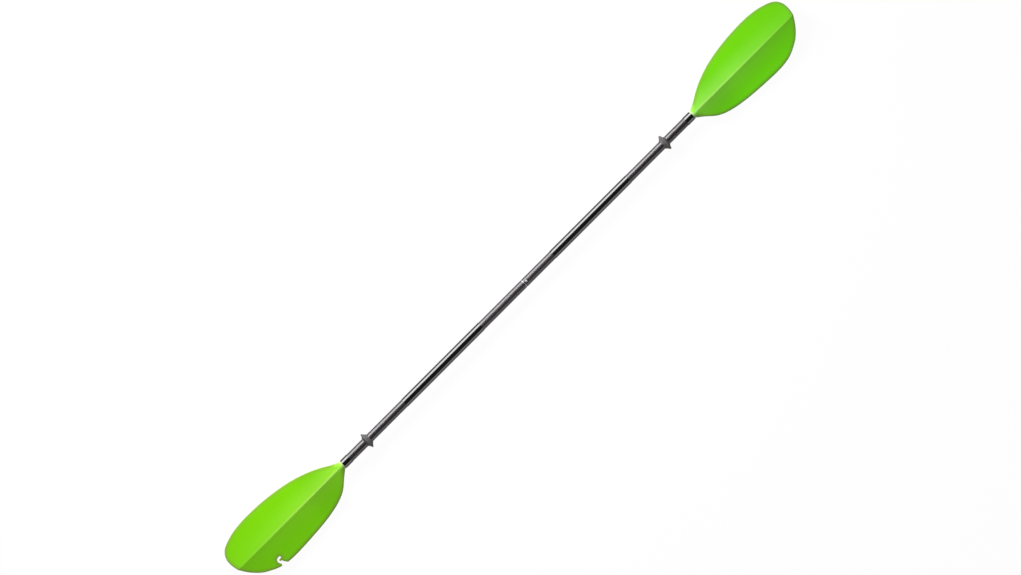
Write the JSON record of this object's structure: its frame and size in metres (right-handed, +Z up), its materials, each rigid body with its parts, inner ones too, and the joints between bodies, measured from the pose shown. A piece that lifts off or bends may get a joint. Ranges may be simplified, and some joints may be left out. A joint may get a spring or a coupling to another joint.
{
  "type": "kayak paddle",
  "caption": "Kayak paddle with a spooned, ridged blade at each end of a shaft that parts and feathers at a snap-button ferrule, with drip rings and a line hook cut into a blade's edge.",
  "frame": {"origin": "on the surface that the paddle lies on, under the middle of its length and width", "axes": "+X along the shaft towards the plain blade, +Z up and out of both power faces, +Y towards the longer edge of both blades"},
  "size_m": [2.4, 0.1879, 0.0548],
  "materials": {
    "blade_nylon": "satin",
    "shaft_fibreglass": "satin",
    "ferrule_aluminium": "satin",
    "bung_plastic": "matte",
    "button_steel": "polished",
    "clip_steel": "satin",
    "plug_foam": "matte",
    "gloss_sleeve": "gloss",
    "gloss_band": "gloss",
    "ring_rubber": "matte"
  },
  "bodies": {
    "male_half": {"hook_blade": "blade_nylon", "male_tube": "shaft_fibreglass", "ferrule": "ferrule_aluminium", "snap_clip": "clip_steel", "male_grip_sleeve": "gloss_sleeve", "hook_end_band": "gloss_band"},
    "joint_core": {"ferrule_bung": "bung_plastic"},
    "female_half": {"plain_blade": "blade_nylon", "female_tube": "shaft_fibreglass", "female_grip_sleeve": "gloss_sleeve", "plain_end_band": "gloss_band", "float_plug": "plug_foam"},
    "button": {"snap_button": "button_steel"},
    "male_ring": {"male_drip_ring": "ring_rubber"},
    "female_ring": {"female_drip_ring": "ring_rubber"}
  },
  "joints": [
    {"name": "feather_turn", "type": "hinge", "parent": "male_half", "child": "joint_core", "pos_m": [0.0215, 0, 0.0274], "axis": [1, 0, 0], "range_deg": [-60, 60], "deforming": ["snap_button"]},
    {"name": "halves_pull", "type": "slide", "parent": "joint_core", "child": "female_half", "axis": [1, 0, 0], "range_m": [0, 0.12]},
    {"name": "button_press", "type": "slide", "parent": "male_half", "child": "button", "axis": [0, 0, -1], "range_m": [0, 0.0049], "stiffness_N_per_m": 2500, "springref_m": -0.002, "deforming": ["snap_clip"]},
    {"name": "male_ring_slide", "type": "slide", "parent": "male_half", "child": "male_ring", "axis": [1, 0, 0], "range_m": [-0.0655, 0.149]},
    {"name": "female_ring_slide", "type": "slide", "parent": "female_half", "child": "female_ring", "axis": [1, 0, 0], "range_m": [-0.149, 0.0825]}
  ]
}
